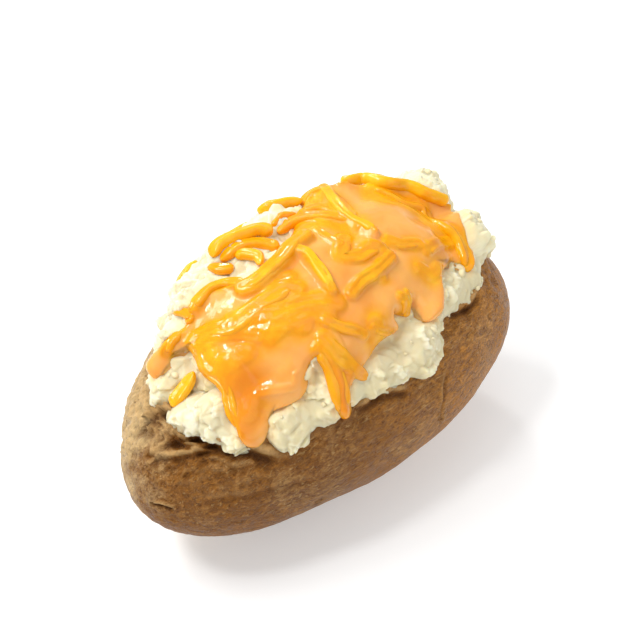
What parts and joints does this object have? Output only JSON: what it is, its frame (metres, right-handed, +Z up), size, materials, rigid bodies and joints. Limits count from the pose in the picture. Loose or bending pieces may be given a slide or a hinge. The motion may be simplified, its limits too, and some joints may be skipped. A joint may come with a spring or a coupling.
{
  "type": "baked potato",
  "caption": "Baked potato split along its top, heaped with fluffed flesh, poured cheese sauce and grated cheese, standing alone on its flattened underside.",
  "frame": {"origin": "under the middle of the object's box, on the surface that the potato rests on", "axes": "+X along the potato towards its thicker end, -Y towards the side that the sauce runs down, +Z up"},
  "size_m": [0.125, 0.0732, 0.0762],
  "materials": {
    "baked_skin": "dry baked potato skin, brown with fine lengthwise streaks, darker specks and a faint waxy sheen",
    "potato_flesh": "fluffy crumbled potato, moist, creamy white to pale yellow, slightly see-through",
    "cheese_sauce": "smooth glossy warm cheese sauce, light orange",
    "grated_cheese": "half melted grated cheese, golden yellow, glossy and slightly see-through"
  },
  "bodies": {
    "root": {"jacket": "baked_skin", "flesh": "potato_flesh", "cheese_sauce": "cheese_sauce", "cheese_shred_01": "grated_cheese", "cheese_shred_02": "grated_cheese", "cheese_shred_03": "grated_cheese", "cheese_shred_04": "grated_cheese", "cheese_shred_05": "grated_cheese", "cheese_shred_06": "grated_cheese", "cheese_shred_07": "grated_cheese", "cheese_shred_08": "grated_cheese", "cheese_shred_09": "grated_cheese", "cheese_shred_10": "grated_cheese", "cheese_shred_11": "grated_cheese", "cheese_shred_12": "grated_cheese", "cheese_shred_13": "grated_cheese", "cheese_shred_14": "grated_cheese", "cheese_shred_15": "grated_cheese", "cheese_shred_16": "grated_cheese", "cheese_shred_17": "grated_cheese", "cheese_shred_18": "grated_cheese"}
  },
  "joints": []
}
